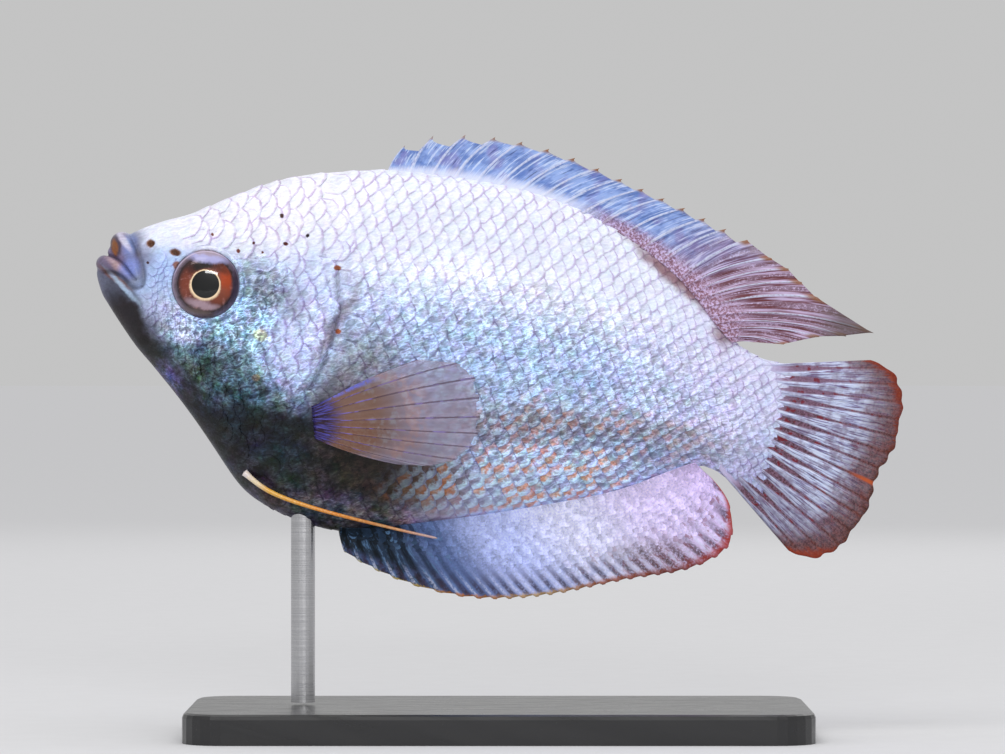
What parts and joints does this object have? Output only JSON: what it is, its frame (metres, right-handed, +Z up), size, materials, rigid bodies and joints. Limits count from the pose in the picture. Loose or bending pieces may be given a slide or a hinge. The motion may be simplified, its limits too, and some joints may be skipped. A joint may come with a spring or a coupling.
{
  "type": "dwarf gourami model",
  "caption": "Still, life-size swimming dwarf gourami in its powder-blue colour form, held nose up by a plain rod on a flat base.",
  "frame": {"origin": "bottom centre of the whole object's box, on the underside of the stand's base", "axes": "+X from the fish's head towards its tail, -Y out of the fish's left side, +Z up"},
  "size_m": [0.0807, 0.03, 0.06],
  "materials": {
    "head_skin": "moist scaled skin, pale lilac-blue above and blue-green on the cheek",
    "body_skin": "moist scaled skin, powder blue and lavender with an iridescent sheen",
    "gill_skin": "moist scaled skin, blue-green and iridescent",
    "eye": "wet, clear cornea over an orange-brown iris and a black pupil",
    "fin": "thin rayed membrane, sky blue to lilac with red-brown and orange rims",
    "pectoral_fin": "thin, translucent brown membrane with fine rays",
    "feeler": "smooth thread, white at the root, golden yellow to orange",
    "stand_base": "satin black",
    "stand_rod": "brushed"
  },
  "bodies": {
    "root": {"head": "head_skin", "torso": "body_skin", "tail_stalk": "body_skin", "gill_cover_left": "gill_skin", "gill_cover_right": "gill_skin", "eye_left": "eye", "eye_right": "eye", "dorsal_fin": "fin", "anal_fin": "fin", "tail_fin": "fin", "pectoral_fin_left": "pectoral_fin", "pectoral_fin_right": "pectoral_fin", "pelvic_feeler_left": "feeler", "pelvic_feeler_right": "feeler", "stand_base": "stand_base", "stand_rod": "stand_rod"}
  },
  "joints": []
}
